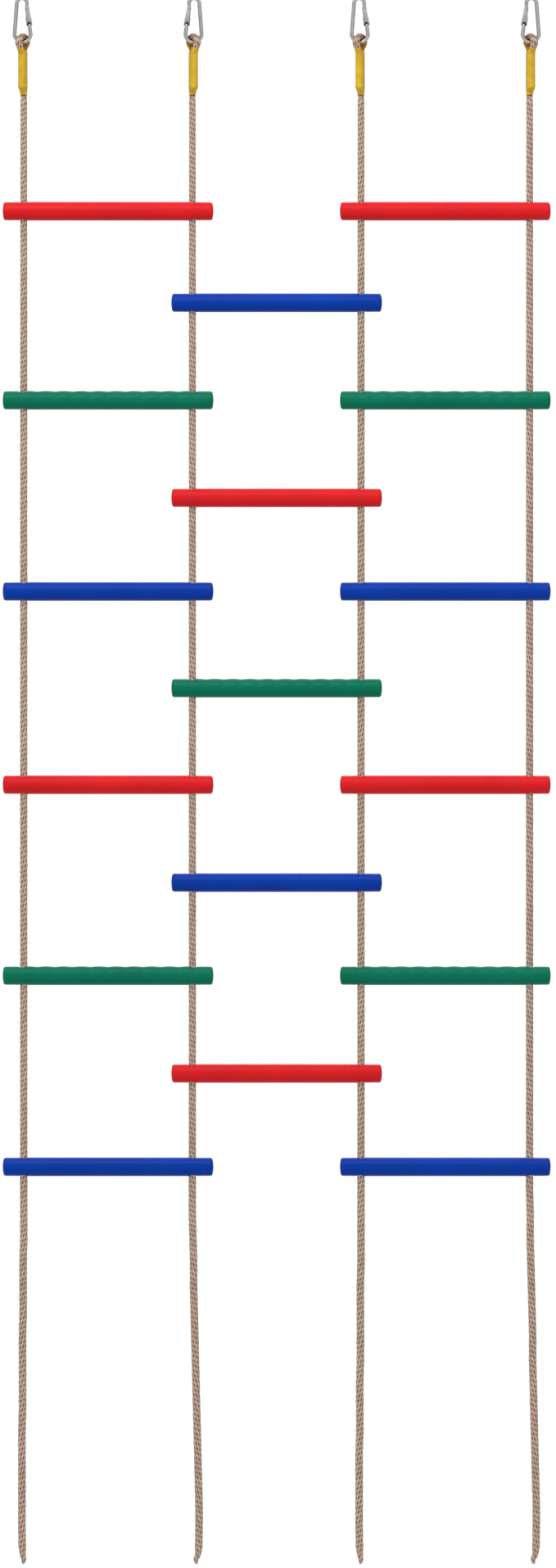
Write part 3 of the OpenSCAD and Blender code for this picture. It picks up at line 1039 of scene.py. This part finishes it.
def bar_line():
    """The bent bar's centreline in XZ from the gate's pin round to the nose."""
    line = LOWER_BOW - UPPER_BOW
    lean = math.degrees(math.asin((LOWER_BOW_R - UPPER_BOW_R) / np.linalg.norm(line)))
    spine = math.degrees(math.atan2(line[1], line[0])) + 270 - lean
    end = GATE_PIN - (0, TANG_HALF_WIDTH)
    top = arc(UPPER_BOW, UPPER_BOW_R, UPPER_BOW_END, spine)
    bottom = arc(LOWER_BOW, LOWER_BOW_R, spine, 360)
    a, b = top[-1], bottom[0]
    straight = [a + (b - a) * t for t in (0.02, 0.25, 0.5, 0.75, 0.98)]
    start = [end, GATE_PIN, (GATE_PIN + top[0]) / 2]
    return start + top + straight + bottom + [(bottom[-1] + NOSE_TIP) / 2, NOSE_TIP]


def round_cap(share):
    """How wide a half-round end stands, from 0 at its tip to 1 where the full width starts."""
    return math.sqrt(max(1 - (1 - min(share, 1)) ** 2, CAP_LEAST))


def bar_section(at, total):
    """Half width in the hook's plane and half thickness across it, at a distance along the bar."""
    full = float(smoothstep((at - TANG_START) / TANG_LENGTH))
    width = TANG_HALF_WIDTH + (BAR_R - TANG_HALF_WIDTH) * full
    thick = TANG_HALF_THICKNESS + (BAR_R - TANG_HALF_THICKNESS) * full
    width *= round_cap(at / TANG_HALF_WIDTH)
    thick *= TANG_EDGE_SHARE + (1 - TANG_EDGE_SHARE) * min(at / TANG_HALF_WIDTH, 1)
    left = total - at
    slim = float(smoothstep((NOSE_NECK + NECK_LENGTH - left) / NECK_LENGTH))
    neck = (1 - (1 - NOSE_R / BAR_R) * slim) * round_cap(left / NOSE_R)
    return width * neck, thick * neck


def make_hook(n):
    """The bent bar: rings swept along its line, mirrored on ropes 2 and 4."""
    line = [(p[0], 0, p[1]) for p in bar_line()]
    points, at = resample(line, HOOK_STEP)
    across, side = carried_frames(points, (0, 1, 0))
    angles = 2 * math.pi * np.arange(HOOK_AROUND) / HOOK_AROUND
    vertices = []
    for p, y, w, s in zip(points, across, side, at):
        width, thick = bar_section(s, at[-1])
        for a in angles:
            v = p + y * thick * math.cos(a) + w * width * math.sin(a)
            vertices.append((ROPE_X[n] + hand(n) * v[0], v[1], v[2]))
    rings = len(points)
    faces = grid_faces(rings, HOOK_AROUND).tolist()
    faces.append(list(range(HOOK_AROUND)))
    faces.append(list(range((rings - 1) * HOOK_AROUND, rings * HOOK_AROUND))[::-1])
    if hand(n) > 0:
        faces = [f[::-1] for f in faces]
    piece = new_piece(f"hook_bar_{n}", vertices, faces, "zinc_steel")
    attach(piece, "hooks")
    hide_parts(f"hook_{n}")


for n in ROPES:
    make_hook(n)


# ---------------------------------------------------------------- gates
GATE_LEAN = math.atan2(NOSE_TIP[0] - GATE_PIN[0], GATE_PIN[1] - NOSE_TIP[1])
GATE_LENGTH = 29.5 * MM
GATE_R = 5.0 * MM
GATE_SHEET = 0.9 * MM
GATE_MOUTH = 4.8 * MM
GATE_SWELL = 10 * MM
GATE_FLARE = 0.3 * MM
FLARE_START = 9 * MM
FLARE_LENGTH = 13 * MM
GATE_EDGE_ROUND = 0.22 * MM
CHANNEL_MOUTH = 8 * MM
CUT_REACH = 20 * MM
CUT_SPARE = 1 * MM
EAR_R = 3.7 * MM
EAR_DEPTH = 2 * MM
NOTCH_HALF = 4.0 * MM
NOTCH_RISE = 6.6 * MM
NOTCH_SHIFT = -0.1 * MM
PIN_HOLE_R = 1.55 * MM
PIN_HOLE_CUT = 30 * MM


def prism(name, outline, low, high, upright=False):
    """An outline pushed from low to high: along Z if upright, else along Y."""
    mesh = bmesh.new()
    rings = []
    for level in (low, high):
        places = [(x, y, level) if upright else (x, level, y) for x, y in outline]
        rings.append([mesh.verts.new(p) for p in places])
    mesh.faces.new(rings[0])
    mesh.faces.new(rings[1])
    for i in range(len(outline)):
        j = (i + 1) % len(outline)
        mesh.faces.new((rings[0][i], rings[0][j], rings[1][j], rings[1][i]))
    return temporary(name, mesh)


def channel_outline(radius, mouth):
    """Round towards the spine, and drawn in a little out to the mouth."""
    angles = np.radians(np.linspace(90, 270, 37))
    bend = [(radius * math.cos(a), radius * math.sin(a)) for a in angles]
    reach = np.linspace(0, mouth, 14)[1:]
    lower = [(x, -radius * math.sqrt(1 - (x / GATE_SWELL) ** 2)) for x in reach]
    return bend + lower + [(x, -y) for x, y in lower[::-1]]


def gate_front_outline():
    """The gate seen from the front: a round ear, a waist and a flare down to the cup."""
    ear = [(EAR_R * math.cos(a), EAR_R * math.sin(a)) for a in np.radians(np.arange(0, 181, 10))]
    depths = np.linspace(EAR_DEPTH, GATE_LENGTH, 23)
    flare = smoothstep((depths - FLARE_START) / FLARE_LENGTH)
    left = [(-EAR_R - (GATE_R + GATE_FLARE - EAR_R) * f, -d) for f, d in zip(flare, depths)]
    right = [(EAR_R + (GATE_MOUTH - EAR_R) * f, -d) for f, d in zip(flare, depths)]
    return ear + left + right[::-1]


def inside_gate(mesh):
    """Which of the gate's points lie on its inner face, which gets painted shade."""
    places = np.array([v.co for v in mesh.vertices])
    wide = (GATE_R - GATE_SHEET / 2) * np.sqrt(np.clip(1 - (places[:, 0] / GATE_SWELL) ** 2, 0, 1))
    behind = np.hypot(places[:, 0], places[:, 1]) < GATE_R - GATE_SHEET / 2
    return np.where(places[:, 0] < 0, behind, np.abs(places[:, 1]) < wide).astype(np.float32)


def gate_sheet(name):
    """The folded sheet, its pin at the origin: a channel trimmed to the gate's front outline, with
    a notch for the nose and a hole for the pin."""
    low, high = -GATE_LENGTH, EAR_R + CUT_SPARE
    sheet = prism(name, channel_outline(GATE_R, CHANNEL_MOUTH), low, high, upright=True)
    cut(sheet, prism("front", gate_front_outline(), -CUT_REACH, CUT_REACH), "INTERSECT")
    inside = channel_outline(GATE_R - GATE_SHEET, CHANNEL_MOUTH + CUT_SPARE)
    cut(sheet, prism("inside", inside, low - CUT_SPARE, high, upright=True))
    turns = np.radians(np.arange(0, 360, 10))
    notch = [(NOTCH_HALF * math.cos(a) + NOTCH_SHIFT, NOTCH_RISE * math.sin(a) - GATE_LENGTH)
             for a in turns]
    cut(sheet, prism("notch", notch, -CUT_REACH, 0))
    cut(sheet, drill("pin_hole", PIN_HOLE_R, PIN_HOLE_CUT, (0, 0, 0), (0, 1, 0), 32))
    soften(sheet, GATE_EDGE_ROUND)
    return sheet


def make_gate(n):
    """Leans the sheet to close on the nose, mirrors it on ropes 2 and 4, and hangs it on its pin."""
    sheet = gate_sheet(f"gate_sheet_{n}")
    inner = inside_gate(sheet.data)
    sheet.data.transform(Matrix.Rotation(-GATE_LEAN, 4, "Y"))
    sheet.data.transform(Matrix.Translation((GATE_PIN[0], 0, GATE_PIN[1])))
    if hand(n) < 0:
        sheet.data.transform(Matrix.Scale(-1, 4, (1, 0, 0)))
        sheet.data.flip_normals()
    sheet.data.transform(Matrix.Translation((ROPE_X[n], 0, 0)))
    smooth_by_angle(sheet.data)
    # Marks the gate's inner faces for painted shade.
    paint(sheet.data, "inside", inner)
    sheet.data.materials.clear()
    sheet.data.materials.append(MATERIALS["zinc_sheet"])
    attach(sheet, f"latch_{n}")
    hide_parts(f"gate_{n}")


for n in ROPES:
    make_gate(n)


# ---------------------------------------------------------------- small CAD parts
def dress(node, slot):
    """Gives a part carried over from the frame its finish."""
    part = frame["nodes"][node]
    part.data.materials.clear()
    part.data.materials.append(MATERIALS[slot])


for n in ROPES:
    dress(f"gate_spring_{n}", "spring_steel")
for k in ROWS:
    dress(f"rung_screws_{k}", "screw_steel")
dress("gate_pins", "zinc_sheet")
dress("eye_seizings", "zinc_steel")
